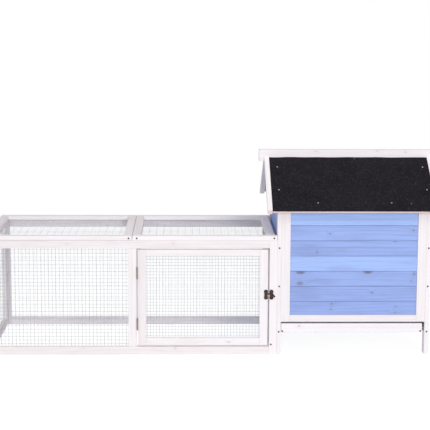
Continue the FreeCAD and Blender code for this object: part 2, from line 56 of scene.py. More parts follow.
# ---------------------------------------------------------------- shader building
class Shader:
    """A short way to write a node material."""

    def __init__(self, name):
        self.material = bpy.data.materials.new(name)
        self.material.use_nodes = True
        self.tree = self.material.node_tree
        self.bsdf = self.tree.nodes["Principled BSDF"]

    def fill(self, socket, value):
        """Link an output to a socket, or set the socket's own value."""
        if isinstance(value, bpy.types.NodeSocket):
            self.tree.links.new(value, socket)
        else:
            socket.default_value = value

    def set(self, **sockets):
        """Set or link inputs of the surface shader, with underscores for spaces."""
        for name, value in sockets.items():
            self.fill(self.bsdf.inputs[name.replace("_", " ")], value)

    def node(self, kind, **settings):
        made = self.tree.nodes.new(f"ShaderNode{kind}")
        for name, value in settings.items():
            setattr(made, name, value)
        return made

    def math(self, operation, a, b=0.0, c=0.0):
        made = self.node("Math", operation=operation)
        for socket, value in zip(made.inputs, (a, b, c)):
            self.fill(socket, value)
        return made.outputs[0]

    def vector(self, operation, a, b=(0, 0, 0)):
        made = self.node("VectorMath", operation=operation)
        self.fill(made.inputs[0], a)
        self.fill(made.inputs[1], b)
        return made.outputs["Value" if operation in ("LENGTH", "DOT_PRODUCT") else "Vector"]

    def span(self, value, low, high, to_low=0.0, to_high=1.0, smooth=True):
        """Map value from low..high to to_low..to_high, clamped."""
        made = self.node("MapRange", interpolation_type="SMOOTHSTEP" if smooth else "LINEAR")
        for socket, part in zip(made.inputs, (value, low, high, to_low, to_high)):
            self.fill(socket, part)
        return made.outputs[0]

    def mix(self, factor, a, b):
        """A colour between a and b."""
        made = self.node("Mix", data_type="RGBA")
        for index, value in ((0, factor), (6, a), (7, b)):
            self.fill(made.inputs[index], value)
        return made.outputs[2]

    def noise(self, vector, scale, detail=2.0, roughness=0.5):
        made = self.node("TexNoise")
        self.fill(made.inputs["Vector"], vector)
        for name, value in (("Scale", scale), ("Detail", detail), ("Roughness", roughness)):
            made.inputs[name].default_value = value
        return made.outputs["Fac"]

    def cells(self, vector, scale):
        """A Voronoi pattern's (distance, colour)."""
        made = self.node("TexVoronoi")
        self.fill(made.inputs["Vector"], vector)
        made.inputs["Scale"].default_value = scale
        return made.outputs["Distance"], made.outputs["Color"]

    def attribute(self, name):
        return self.node("Attribute", attribute_name=name)

    def place(self):
        """The point on the surface, in the hutch's own metres."""
        return self.node("TexCoord").outputs["Object"]

    def bump(self, height, depth, strength=1.0):
        made = self.node("Bump")
        made.inputs["Distance"].default_value = depth
        made.inputs["Strength"].default_value = strength
        self.fill(made.inputs["Height"], height)
        self.set(Normal=made.outputs["Normal"])


def paint(red, green, blue):
    """A colour given as 0-255 display values, as linear light."""
    def linear(level):
        level /= 255
        return level / 12.92 if level <= 0.04045 else ((level + 0.055) / 1.055) ** 2.4
    return linear(red), linear(green), linear(blue), 1.0


# ---------------------------------------------------------------- wood
# Every board carries two attributes: "grain" is a point in the board's own metres, x along the grain,
# with a random start for each board, and "finish" holds (tone, end grain, worn edge).
def knot_marks(s, grain, knots, scatter):
    """(cores of the knots, the grain that they disturb around them), each from 0 to 1.

    knots are (along, up, half width, half height, strength, cut-off height) in metres in the XZ plane, and
    scatter is the share of a board's cells with a small knot.
    """
    scattered, cell_colour = s.cells(s.vector("MULTIPLY", grain, (5.0, 16.0, 16.0)), 1.0)
    chosen = s.node("SeparateColor")
    s.fill(chosen.inputs[0], cell_colour)
    allowed = s.math("GREATER_THAN", chosen.outputs[0], 1.0 - scatter)
    size = s.span(chosen.outputs[1], 0.0, 1.0, 0.05, 0.13, smooth=False)
    knot_core = s.math("MULTIPLY", allowed, s.span(s.math("DIVIDE", scattered, size), 0.6, 1.1, 1.0, 0.0))
    knot_field = s.math("MULTIPLY", allowed, s.span(scattered, 0.0, 0.45, 1.0, 0.0))
    height = s.node("SeparateXYZ")
    s.fill(height.inputs[0], s.place())
    for along, up, wide, high, strength, top in knots:
        offset = s.vector("SUBTRACT", s.place(), (along, 0, up))
        away = s.vector("LENGTH", s.vector("MULTIPLY", offset, (1 / wide, 0, 1 / high)))
        below = s.math("LESS_THAN", height.outputs[2], top)
        core = s.math("MULTIPLY", below, s.span(away, 0.4, 1.15, strength, 0.0))
        knot_core = s.math("MAXIMUM", knot_core, core)
        halo = s.math("MULTIPLY", below, s.span(away, 0.5, 4.0, strength, 0.0))
        knot_field = s.math("MAXIMUM", knot_field, halo)
    return knot_core, knot_field


def ring_figure(s, grain, knot_field):
    """The year rings' figure: long bands that wander along the board and bend around its knots."""
    across = s.node("SeparateXYZ")
    s.fill(across.inputs[0], grain)
    wander = s.noise(s.vector("MULTIPLY", grain, (1.6, 12.0, 12.0)), 1.0, 2.0)
    depth = s.math("MULTIPLY_ADD", across.outputs[1], 70.0, s.math("MULTIPLY", across.outputs[2], 40.0))
    rings = s.math("MULTIPLY_ADD", wander, 4.0, s.math("MULTIPLY_ADD", knot_field, 1.5, depth))
    return s.span(s.math("PINGPONG", rings, 0.5), 0.08, 0.5)


def wood(name, light, dark, streak, knot, end, worn, coverage, knots=(), scatter=0.16):
    """Stained softwood. light and dark are the paint on pale and on tinted boards.

    streak is the colour of the grain, end that of end grain, worn that of rubbed edges, and coverage is how
    much the paint hides the grain. knots and scatter are as in knot_marks.
    """
    s = Shader(name)
    grain = s.attribute("grain").outputs["Vector"]
    finish = s.node("SeparateColor")
    s.fill(finish.inputs[0], s.attribute("finish").outputs["Color"])
    tone, is_end, is_edge = finish.outputs
    knot_core, knot_field = knot_marks(s, grain, knots, scatter)
    figure = ring_figure(s, grain, knot_field)
    fibre = s.noise(s.vector("MULTIPLY", grain, (9.0, 420.0, 420.0)), 1.0, 4.0, 0.62)
    band = s.noise(s.vector("MULTIPLY", grain, (1.1, 60.0, 60.0)), 1.0, 3.0, 0.6)
    blotch = s.noise(s.vector("MULTIPLY", grain, (5.0, 22.0, 22.0)), 1.0, 3.0, 0.55)

    # the paint, with more of the wood showing through it on the tinted boards
    bare = s.math("MULTIPLY", s.math("MULTIPLY_ADD", tone, 1.0, 0.5), 1.0 - coverage)
    base = s.mix(tone, light, dark)
    base = s.mix(s.span(band, 0.35, 0.72, 0.0, 0.6), base, dark)
    base = s.mix(s.math("MULTIPLY", bare, s.span(blotch, 0.45, 0.75, 0.0, 0.6)), base, streak)
    # the grain's lines and fibres, then the knots, then rubbed edges and end grain
    lines = s.math("MULTIPLY", s.span(figure, 0.6, 1.0), s.span(fibre, 0.25, 0.75, 0.35, 1.0))
    colour = s.mix(s.math("MULTIPLY", s.math("MULTIPLY", lines, bare), 0.6), base, streak)
    colour = s.mix(s.math("MULTIPLY", bare, s.span(fibre, 0.5, 0.85, 0.0, 0.8)), colour, streak)
    colour = s.mix(s.math("MULTIPLY", knot_field, 0.4), colour, streak)
    colour = s.mix(s.math("MULTIPLY", knot_core, 0.85), colour, knot)
    colour = s.mix(s.math("MULTIPLY", is_edge, s.span(fibre, 0.35, 0.7, 0.0, 0.5)), colour, worn)
    rough_end = s.span(s.noise(s.place(), 900.0, 3.0), 0.3, 0.7, 0.55, 0.95)
    colour = s.mix(s.math("MULTIPLY", is_end, rough_end), colour, end)
    s.set(Base_Color=colour, Roughness=s.span(fibre, 0.2, 0.8, 0.55, 0.8))
    s.bsdf.inputs["Specular IOR Level"].default_value = 0.3
    relief = s.math("MULTIPLY_ADD", fibre, 0.7, s.math("MULTIPLY", figure, 0.3))
    s.bump(s.math("SUBTRACT", relief, s.math("MULTIPLY", knot_core, 0.4)), 0.35 * MM, 0.6)
    return s.material


# ---------------------------------------------------------------- other materials
def mineral_felt():
    """Black bitumen felt with a skin of mineral grit, paler grains here and there and faint mottling."""
    s = Shader("mineral_felt")
    where = s.place()
    grit, _ = s.cells(where, 620.0)
    _, grain_colour = s.cells(where, 300.0)
    pale = s.node("SeparateColor")
    s.fill(pale.inputs[0], grain_colour)
    # painted glints: a few rare bright specks that stand for grit catching the light
    spot, spot_colour = s.cells(where, 150.0)
    rare = s.node("SeparateColor")
    s.fill(rare.inputs[0], spot_colour)
    is_rare = s.math("GREATER_THAN", rare.outputs[0], 0.997)
    painted_glint = s.math("MULTIPLY", is_rare, s.span(spot, 0.1, 0.4, 1.0, 0.0))
    cloud = s.noise(where, 14.0, 4.0, 0.6)
    colour = s.mix(s.span(cloud, 0.3, 0.7), paint(27, 23, 31), paint(34, 30, 38))
    colour = s.mix(s.span(pale.outputs[1], 0.0, 1.0, 0.0, 0.6), colour, paint(16, 14, 20))
    colour = s.mix(s.span(pale.outputs[0], 0.75, 1.0, 0.0, 0.7), colour, paint(60, 56, 66))
    colour = s.mix(s.span(grit, 0.3, 0.7, 0.0, 0.5), colour, paint(18, 16, 21))
    colour = s.mix(s.math("MULTIPLY", painted_glint, 0.9), colour, paint(150, 148, 158))
    s.set(Base_Color=colour, Roughness=s.span(grit, 0.0, 0.6, 0.75, 0.95))
    s.bsdf.inputs["Specular IOR Level"].default_value = 0.2
    s.bump(s.math("SUBTRACT", s.math("MULTIPLY", cloud, 0.6), grit), 0.8 * MM, 0.6)
    return s.material


def metal(name, colour, tint, roughness, metallic, coat=0.0):
    """Plated or lacquered metal with a fine uneven skin; tint is the colour of its duller patches."""
    s = Shader(name)
    where = s.place()
    patch = s.noise(where, 75.0, 4.0, 0.6)
    fine = s.noise(where, 900.0, 3.0, 0.6)
    s.set(Base_Color=s.mix(s.span(patch, 0.35, 0.7), colour, tint),
          Roughness=s.span(fine, 0.2, 0.8, roughness - 0.08, roughness + 0.12))
    s.bsdf.inputs["Metallic"].default_value = metallic
    s.bsdf.inputs["Coat Weight"].default_value = coat
    s.bump(fine, 0.08 * MM, 0.35)
    return s.material


def galvanised_sheet():
    """Zinc-coated sheet with the large flat crystals of its spangle."""
    s = Shader("galvanised_sheet")
    distance, crystal = s.cells(s.place(), 95.0)
    split = s.node("SeparateColor")
    s.fill(split.inputs[0], crystal)
    s.set(Base_Color=s.mix(split.outputs[0], paint(176, 182, 186), paint(214, 218, 221)),
          Roughness=s.span(split.outputs[1], 0.0, 1.0, 0.28, 0.5))
    s.bsdf.inputs["Metallic"].default_value = 0.9
    s.bump(distance, 0.05 * MM, 0.2)
    return s.material


# How strongly the floor glows where it is seen, and in the light that it gives
FLOOR_SEEN = 0.9
FLOOR_GLOW = 0.2


def studio_floor():
    """A white studio floor: nearly evenly bright where it is seen, and plain white in the light it gives."""
    s = Shader("studio_floor")
    direct = s.node("LightPath").outputs["Is Camera Ray"]
    soft = s.noise(s.place(), 3.0, 2.0)
    seen = s.mix(soft, (0.19, 0.19, 0.19, 1.0), (0.21, 0.21, 0.21, 1.0))
    s.set(Base_Color=s.mix(direct, (0.85, 0.85, 0.85, 1.0), seen),
          Emission_Strength=s.math("MULTIPLY_ADD", direct, FLOOR_SEEN - FLOOR_GLOW, FLOOR_GLOW))
    s.bsdf.inputs["Roughness"].default_value = 0.9
    s.bsdf.inputs["Emission Color"].default_value = (1.0, 1.0, 1.0, 1.0)
    return s.material


# ---------------------------------------------------------------- the hutch's paints and metals
FRONT_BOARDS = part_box("house_front_boards")
# The front wall's boards in millimetres: their pitch, and how much the sill trims off the lowest one
BOARD_PITCH = 53
SILL_TRIM = 5
# Knots of the front wall, in millimetres from its lower left corner: right, up, half width, half height,
# strength, and the number of the board whose top edge cuts the knot off. The last is a long thin streak.
FRONT_KNOTS = [
    (135, 285, 5, 3, 0.6, 6), (422, 297, 6, 3.5, 0.6, 6), (360, 258, 8, 2.5, 0.4, 5),
    (92, 221, 3.5, 9, 0.35, 5), (36, 151, 19, 9, 0.9, 3), (268, 152, 19, 9, 0.9, 3),
    (34, 111, 14, 8, 0.6, 3), (428, 143, 6, 5, 0.6, 3), (418, 119, 4, 3, 0.5, 3),
    (283, 79, 7, 4, 0.55, 2), (278, 51, 6, 3, 0.4, 1), (145, 39, 6, 4, 0.5, 1), (143, 20, 5, 4, 0.5, 1),
    (367, 29, 9, 3, 0.4, 1), (365, 9, 9, 3, 0.4, 1), (220, 236, 260, 1.2, 0.5, 5),
]
# Knots of the white timbers, in millimetres: x, z, half width, half height and strength
WHITE_KNOTS = [
    (287, 101, 6, 5, 0.5), (44, 45, 6, 4, 0.5), (-141, 23, 8, 5, 0.35), (-459, 24, 5, 3, 0.3),
    (-147, 391, 6, 4, 0.3), (-510, 388, 9, 2, 0.25), (676, 682, 5, 3, 0.5), (358, 684, 12, 3, 0.3),
    (575, 686, 8, 3, 0.35),
]


def white_knots():
    """The knots of the white timbers in metres; they end only above the hutch, so nothing cuts them off."""
    above_all = 1.0
    return [(x * MM, z * MM, wide * MM, high * MM, strength, above_all)
            for x, z, wide, high, strength in WHITE_KNOTS]


def front_knots():
    """The knots of the front wall in metres, each with the height of the joint above it."""
    (left, _, bottom), _ = FRONT_BOARDS
    first_joint = bottom + (BOARD_PITCH - SILL_TRIM) * MM
    return [(left + right * MM, bottom + up * MM, wide * MM, high * MM, strength,
             first_joint + (row - 1) * BOARD_PITCH * MM)
            for right, up, wide, high, strength, row in FRONT_KNOTS]


WHITE = wood(
    "white_washed_fir", light=paint(246, 243, 245), dark=paint(240, 236, 237),
    streak=paint(226, 216, 216), knot=paint(188, 170, 166), end=paint(232, 210, 200),
    worn=paint(234, 226, 224), coverage=0.5, knots=white_knots())
# Painted shade: a darker copy of the white paint, with darker edges, for the inner faces of the run's back
# and ends, which sit in shade
WHITE_PAINTED_SHADE = wood(
    "white_fir_painted_shade", light=paint(239, 234, 238), dark=paint(225, 219, 223),
    streak=paint(196, 182, 186), knot=paint(156, 138, 134), end=paint(200, 180, 176),
    worn=paint(172, 156, 160), coverage=0.4)
BLUE_TONES = {
    "light": paint(173, 203, 255), "dark": paint(154, 177, 234), "streak": paint(138, 155, 205),
    "knot": paint(108, 100, 118), "end": paint(150, 150, 170), "worn": paint(130, 145, 190),
    "coverage": 0.3,
}
BLUE = wood("blue_stained_fir", scatter=0.3, **BLUE_TONES)
BLUE_FRONT = wood("blue_stained_fir_front", knots=front_knots(), scatter=0.0, **BLUE_TONES)
RAW = wood(
    "raw_fir", light=paint(232, 214, 208), dark=paint(218, 196, 190), streak=paint(196, 168, 150),
    knot=paint(112, 78, 54), end=paint(172, 146, 136), worn=paint(180, 156, 146), coverage=0.15)
FELT = mineral_felt()
WIRE = metal("galvanised_wire", paint(206, 213, 217), paint(192, 200, 204), 0.45, 0.2)
BRIGHT_WIRE = metal("bright_wire", paint(226, 232, 232), paint(212, 220, 220), 0.4, 0.2)
SHEET = galvanised_sheet()
HINGE = metal("hinge_lacquer", paint(172, 152, 144), paint(148, 126, 118), 0.42, 0.4)
BRONZE = metal("bronze_lacquer", paint(84, 62, 54), paint(34, 24, 24), 0.34, 0.7, coat=0.2)
STEEL = metal("screw_steel", paint(78, 72, 72), paint(44, 38, 38), 0.38, 0.7)
ZINC = metal("nail_zinc", paint(196, 196, 200), paint(150, 150, 154), 0.35, 0.8)


# ---------------------------------------------------------------- pieces
def add_piece(name, mesh, material, *nodes):
    """Put a mesh in the scene, riding on its nodes' body and standing for those nodes."""
    piece = bpy.data.objects.new(name, mesh)
    bpy.context.scene.collection.objects.link(piece)
    piece.data.materials.clear()
    piece.data.materials.append(material)
    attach(piece, BODY_OF[nodes[0]])
    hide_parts(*nodes)
    return piece


def cad_copy(node):
    """A clean bmesh of a CAD node: joined corners and no edges inside flat faces."""
    work = bmesh.new()
    work.from_mesh(frame["nodes"][node].data)
    bmesh.ops.remove_doubles(work, verts=work.verts, dist=1e-6)
    bmesh.ops.dissolve_limit(work, angle_limit=math.radians(0.5), verts=work.verts, edges=work.edges)
    return work


def islands(work):
    """The separate solids of a bmesh, each a list of vertices."""
    left = set(work.verts)
    found = []
    for seed in work.verts:
        if seed not in left:
            continue
        left.discard(seed)
        solid, queue = [], [seed]
        while queue:
            vertex = queue.pop()
            solid.append(vertex)
            for edge in vertex.link_edges:
                other = edge.other_vert(vertex)
                if other in left:
                    left.discard(other)
                    queue.append(other)
        found.append(solid)
    return found


def extent(vertices):
    """(lowest corner, highest corner) of some vertices."""
    low = Vector([min(v.co[axis] for v in vertices) for axis in range(3)])
    high = Vector([max(v.co[axis] for v in vertices) for axis in range(3)])
    return low, high


def grain_axes(solid, slope):
    """Unit vectors along and across a board's grain."""
    low, high = extent(solid)
    if slope:
        down = -1.0 if (low.y + high.y) < 0 else 1.0
        along = Vector((0, down * math.cos(slope), -math.sin(slope)))
        side = Vector((0, math.sin(slope), down * math.cos(slope)))
        return along, side, Vector((1, 0, 0))
    order = sorted(range(3), key=lambda axis: low[axis] - high[axis])
    units = [Vector([1.0 if axis == other else 0.0 for other in range(3)]) for axis in order]
    return units[0], units[1], units[2]


SHARP_WOOD_EDGE = math.radians(25)


def timber(node, material, seed, slope=0.0, chamfer=1.2, tones=None, pocket=None, inward=None):
    """A painted copy of a timber node: eased edges, own grain for each board, end grain and wear.

    slope is the angle of boards that follow the roof, tones gives each board's tone from 0 to 1, lowest
    board first, and pocket is called with the bmesh before the edges are eased, to add to it. Faces that
    look along inward, if it is given, get painted shade: a darker copy of the white paint.
    """
    work = cad_copy(node)
    if pocket:
        pocket(work)
    sharp = [edge for edge in work.edges if edge.calc_face_angle(0.0) > SHARP_WOOD_EDGE]
    eased = bmesh.ops.bevel(work, geom=sharp, offset=chamfer * MM, segments=2, profile=0.6, affect="EDGES",
                            clamp_overlap=True)
    edge_faces = set(eased["faces"])
    grain = work.verts.layers.float_vector.new("grain")
    finish = work.loops.layers.float_color.new("finish")
    luck = random.Random(seed)
    solids = sorted(islands(work), key=lambda solid: extent(solid)[0].z)
    heights = sorted({round(extent(solid)[0].z, 3) for solid in solids})
    for solid in solids:
        along, side, flat = grain_axes(solid, slope)
        start = Vector((luck.uniform(0, 40), luck.uniform(0, 40), luck.uniform(0, 40)))
        tone = luck.random()
        if tones:
            tone = tones[heights.index(round(extent(solid)[0].z, 3)) % len(tones)]
        for vertex in solid:
            vertex[grain] = start + Vector((vertex.co.dot(along), vertex.co.dot(side), vertex.co.dot(flat)))
        for face in {face for vertex in solid for face in vertex.link_faces}:
            end = 1.0 if abs(face.normal.dot(along)) > 0.8 else 0.0
            worn = 1.0 if face in edge_faces else 0.0
            # faces that look along inward take the painted-shade copy of the paint
            if inward and face.normal.dot(Vector(inward)) > 0.8:
                face.material_index = 1
            for loop in face.loops:
                loop[finish] = (tone, end, worn, 1.0)
    mesh = bpy.data.meshes.new(f"{node}_timber")
    work.to_mesh(mesh)
    work.free()
    # add_piece clears the material slots, which resets every face's index, so the indices are kept here
    indices = [polygon.material_index for polygon in mesh.polygons]
    piece = add_piece(f"{node}_timber", mesh, material, node)
    # the second slot holds the painted-shade copy of the white paint
    if inward:
        piece.data.materials.append(WHITE_PAINTED_SHADE)
        mesh.polygons.foreach_set("material_index", indices)
    return piece


def add_box(work, low, high):
    """Add a closed block to a bmesh."""
    made = bmesh.ops.create_cube(work, size=1.0)
    for vertex in made["verts"]:
        vertex.co = Vector([low[axis] + (vertex.co[axis] + 0.5) * (high[axis] - low[axis])
                            for axis in range(3)])


# Boards closer than JOINT_GAP, side by side along at least SHARED_EDGE, are joined by a tongue that
# reaches TONGUE_BITE into each of them and is twice TONGUE_HALF thick
JOINT_GAP = 2 * MM
SHARED_EDGE = 20 * MM
TONGUE_BITE = 4 * MM
TONGUE_HALF = 1.5 * MM


def add_tongues(work):
    """Close the joints between boards with their tongues, so that no light shows through them."""
    boards = [extent(solid) for solid in islands(work)]
    for low, high in boards:
        for above_low, above_high in boards:
            gap = above_low.z - high.z
            shared = min(above_high.y, high.y) - max(above_low.y, low.y)
            in_line = abs(above_low.x - low.x) < MM
            if 0 < gap < JOINT_GAP and in_line and shared > SHARED_EDGE:
                left = max(low.y, above_low.y)
                right = min(high.y, above_high.y)
                thin = 0 if high.x - low.x < high.y - low.y else 1
                start = Vector((low.x, left, high.z - TONGUE_BITE))
                stop = Vector((high.x, right, above_low.z + TONGUE_BITE))
                middle = (start[thin] + stop[thin]) / 2
                start[thin], stop[thin] = middle - TONGUE_HALF, middle + TONGUE_HALF
                across = 1 - thin
                start[across] += TONGUE_BITE
                stop[across] -= TONGUE_BITE
                add_box(work, start, stop)


SHARP_METAL_EDGE = math.radians(50)
SOFT_METAL_EDGE = math.radians(32)


def hardware(node, material, chamfer):
    """A copy of a metal node with its hard edges eased and its round faces smooth."""
    work = cad_copy(node)
    if chamfer:
        sharp = [edge for edge in work.edges if edge.calc_face_angle(0.0) > SHARP_METAL_EDGE]
        bmesh.ops.bevel(work, geom=sharp, offset=chamfer * MM, segments=2, profile=0.5, affect="EDGES",
                        clamp_overlap=True)
    for face in work.faces:
        face.smooth = True
    for edge in work.edges:
        edge.smooth = edge.calc_face_angle(0.0) < SOFT_METAL_EDGE
    mesh = bpy.data.meshes.new(f"{node}_metal")
    work.to_mesh(mesh)
    work.free()
    return add_piece(f"{node}_metal", mesh, material, node)


# ---------------------------------------------------------------- timber pieces
def roof_slope():
    """The roof's angle, from the box of one felt sheet."""
    low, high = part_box("roof_felt_front")
    run = high[1] - low[1]
    rise = (high[2] - low[2]) - FELT_PLY
    return math.atan2(rise, run)


# The thickness of the CAD's felt, measured straight down
FELT_PLY = 3 * MM
ROOF_SLOPE = roof_slope()
# The tones of the front wall's boards, lowest board first: 0 is the pale paint and 1 the tinted paint
FRONT_TONES = (1.0, 1.0, 0.85, 0.3, 0.9, 0.75, 0.0)


def timbers():
    """Every wooden piece, each node with its own seed for the grain."""
    straight = """run_front_left_stile run_front_middle_stile run_front_right_stile run_front_top_rail
        run_front_bottom_rail run_back_stiles run_back_top_rail run_back_bottom_rail run_end_stiles
        run_end_rails top_panel_long_rails top_panel_short_rails lid_long_rails lid_short_rails
        door_hinge_stile door_latch_stile door_top_rail door_bottom_rail door_stop house_front_legs
        house_back_legs house_front_stiles house_front_bottom_rail house_back_stiles
        house_back_bottom_rail house_battens ridge_beam tray_front_board tray_runners""".split()
    to_front, to_right = (0, -1, 0), (1, 0, 0)
    # painted shade on the run's back faces that look to the front and on its end faces that look to the
    # right
    inward = dict.fromkeys(("run_back_stiles", "run_back_top_rail", "run_back_bottom_rail"), to_front)
    inward.update(dict.fromkeys(("run_end_stiles", "run_end_rails"), to_right))
    pale = ("ridge_beam", "lid_long_rails", "top_panel_long_rails", "tray_front_board")
    dull = ("run_front_top_rail", "run_front_bottom_rail")
    tones = {**dict.fromkeys(pale, (0.0,)), **dict.fromkeys(dull, (1.0,))}
    for seed, node in enumerate(straight):
        timber(node, WHITE, seed, inward=inward.get(node), tones=tones.get(node))
    for seed, node in enumerate(("bargeboards_left", "bargeboards_right"), start=100):
        timber(node, WHITE, seed, slope=ROOF_SLOPE)
    for seed, node in enumerate(("roof_board_front", "roof_board_back"), start=110):
        timber(node, RAW, seed, chamfer=0.6)
    timber("house_front_boards", BLUE_FRONT, 121, tones=FRONT_TONES, chamfer=1.4, pocket=add_tongues)
    for seed, node in enumerate(("house_back_boards", "house_left_boards", "house_right_boards"), start=122):
        timber(node, BLUE, seed, chamfer=1.4, pocket=add_tongues)


# ---------------------------------------------------------------- mesh panels
# Straight pieces that each wire is made of, how far a wire may stand and bend out of its place, in
# millimetres, and the flats of its round section
WIRE_STEPS = 8
WIRE_DRIFT = 0.25
WIRE_BEND = 0.2
WIRE_SIDES = 6


def tube(points, radius, sides, vertices, faces):
    """Append a round wire along points to a mesh's vertex and face lists."""
    start = len(vertices)
    for index, point in enumerate(points):
        ahead = points[min(index + 1, len(points) - 1)] - points[max(index - 1, 0)]
        turn = ahead.to_track_quat("Z", "Y")
        for step in range(sides):
            angle = 2 * math.pi * step / sides
            vertices.append(point + turn @ Vector((math.cos(angle), math.sin(angle), 0)) * radius)
    for ring in range(len(points) - 1):
        for step in range(sides):
            low = start + ring * sides
            after = (step + 1) % sides
            faces.append((low + step, low + after, low + sides + after, low + sides + step))
    faces.append(tuple(start + step for step in reversed(range(sides))))
    faces.append(tuple(start + (len(points) - 1) * sides + step for step in range(sides)))


def mesh_from(name, vertices, faces):
    """A smooth-shaded mesh."""
    mesh = bpy.data.meshes.new(name)
    mesh.from_pydata([tuple(vertex) for vertex in vertices], [], faces)
    mesh.polygons.foreach_set("use_smooth", [True] * len(mesh.polygons))
    mesh.update()
    return mesh


def wire_panel(node, pitch, diameter, inward, material, seed):
    """Welded mesh in place of a pierced sheet: two layers of round wire, slightly out of true.

    inward is +1 or -1, the side of the sheet's thin axis that faces away from its frame.
    """
    low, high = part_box(node)
    size = [high[axis] - low[axis] for axis in range(3)]
    thin = size.index(min(size))
    first, second = [axis for axis in range(3) if axis != thin]
    radius = diameter * MM / 2
    luck = random.Random(seed)
    base = low[thin] if inward > 0 else high[thin]
    vertices, faces = [], []
    for along, across, layer in ((first, second, 0.5), (second, first, 1.5)):
        count = int((size[across] - 2 * radius) / (pitch * MM))
        margin = (size[across] - count * pitch * MM) / 2
        for number in range(count + 1):
            drift = luck.uniform(-WIRE_DRIFT, WIRE_DRIFT) * MM
            points = []
            for step in range(WIRE_STEPS + 1):
                point = [0.0, 0.0, 0.0]
                point[along] = low[along] + size[along] * step / WIRE_STEPS
                bend = luck.uniform(-WIRE_BEND, WIRE_BEND) * MM
                point[across] = low[across] + margin + number * pitch * MM + drift + bend
                point[thin] = base + inward * layer * diameter * MM
                points.append(Vector(point))
            tube(points, radius, WIRE_SIDES, vertices, faces)
    add_piece(f"{node}_wires", mesh_from(f"{node}_wires", vertices, faces), material, node)


STAPLE_SPACING = 110 * MM
STAPLE_INSET = 4.5 * MM
STAPLE_RADIUS = 0.45 * MM
# A staple's outline in millimetres, (along, out of the frame)
STAPLE_OUTLINE = ((-5, 0.1), (-4.6, 2.0), (-3.8, 2.3), (3.8, 2.3), (4.6, 2.0), (5, 0.1))


def staples(node, inward):
    """Wire staples that hold a mesh panel to its frame, along all four sides."""
    low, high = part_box(node)
    size = [high[axis] - low[axis] for axis in range(3)]
    thin = size.index(min(size))
    flat = [axis for axis in range(3) if axis != thin]
    base = low[thin] if inward > 0 else high[thin]
    vertices, faces = [], []
    for along, across in (flat, flat[::-1]):
        count = max(2, round(size[along] / STAPLE_SPACING))
        for edge in (low[across] + STAPLE_INSET, high[across] - STAPLE_INSET):
            for number in range(count):
                middle = low[along] + size[along] * (number + 0.5) / count
                points = []
                for shift, lift in STAPLE_OUTLINE:
                    point = [0.0, 0.0, 0.0]
                    point[along] = middle + shift * MM
                    point[across] = edge
                    point[thin] = base + inward * lift * MM
                    points.append(Vector(point))
                tube(points, STAPLE_RADIUS, WIRE_SIDES, vertices, faces)
    piece = bpy.data.objects.new(f"{node}_staples", mesh_from(f"{node}_staples", vertices, faces))
    bpy.context.scene.collection.objects.link(piece)
    piece.data.materials.append(WIRE)
    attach(piece, BODY_OF[node])


def meshes():
    """The six mesh panels, each as (pitch, wire diameter, the side that its wires lie on, material)."""
    panels = {
        "run_front_mesh": (12.7, 1.3, 1, WIRE), "door_mesh": (10.7, 1.2, 1, WIRE),
        "top_panel_mesh": (25.4, 1.1, -1, WIRE), "lid_mesh": (25.4, 1.1, -1, WIRE),
        "run_end_mesh": (25.4, 0.6, 1, BRIGHT_WIRE), "run_back_mesh": (25.4, 0.6, -1, BRIGHT_WIRE),
    }
    for seed, (node, (pitch, diameter, inward, material)) in enumerate(panels.items(), start=200):
        wire_panel(node, pitch, diameter, inward, material, seed)
        staples(node, inward)


# ---------------------------------------------------------------- roof felt
# The sheet's grid of faces, and the number of waves that add up to its swell
FELT_ACROSS = 112
FELT_DOWN = 48
FELT_WAVES = 9
# How far the sheet lies below its CAD face, and how much lower its edges dip, in millimetres
FELT_SINK = 0.3
EDGE_DIP = 0.4
# The part of the CAD sheet's thickness that the sheet has, which keeps it clear of the roof boards
FELT_SHARE = 0.85
SOFT_FELT_EDGE = math.radians(40)


def felt_grid(work, node, sign, seed):
    """The rows of a felt sheet's upper face, from the ridge down to the eave, with its small waves.

    sign is -1 on the front slope and 1 on the back one.
    """
    low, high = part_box(node)
    ridge_y = sign * min(abs(low[1]), abs(high[1]))
    eave_y = sign * max(abs(low[1]), abs(high[1]))
    luck = random.Random(seed)
    waves = [(luck.uniform(4, 22), luck.uniform(4, 22), luck.uniform(0, 6.28), luck.uniform(0.05, 0.16))
             for _ in range(FELT_WAVES)]
    normal = Vector((0, sign * math.sin(ROOF_SLOPE), math.cos(ROOF_SLOPE)))
    grid = []
    for j in range(FELT_DOWN + 1):
        row = []
        for i in range(FELT_ACROSS + 1):
            u, v = i / FELT_ACROSS, j / FELT_DOWN
            x = low[0] + (high[0] - low[0]) * u
            y = ridge_y + (eave_y - ridge_y) * v
            z = high[2] - (high[2] - low[2] - FELT_PLY) * v
            swell = sum(depth * math.sin(fx * x * 3 + fv * v * 2 + phase) for fx, fv, phase, depth in waves)
            border = min(u, 1 - u, v * 0.5 + 0.05, (1 - v) * 0.5) * 60
            lift = swell * min(1.0, border) - FELT_SINK - EDGE_DIP * math.exp(-border * 2)
            row.append(work.verts.new(Vector((x, y, z)) + normal * lift * MM))
        grid.append(row)
    return grid


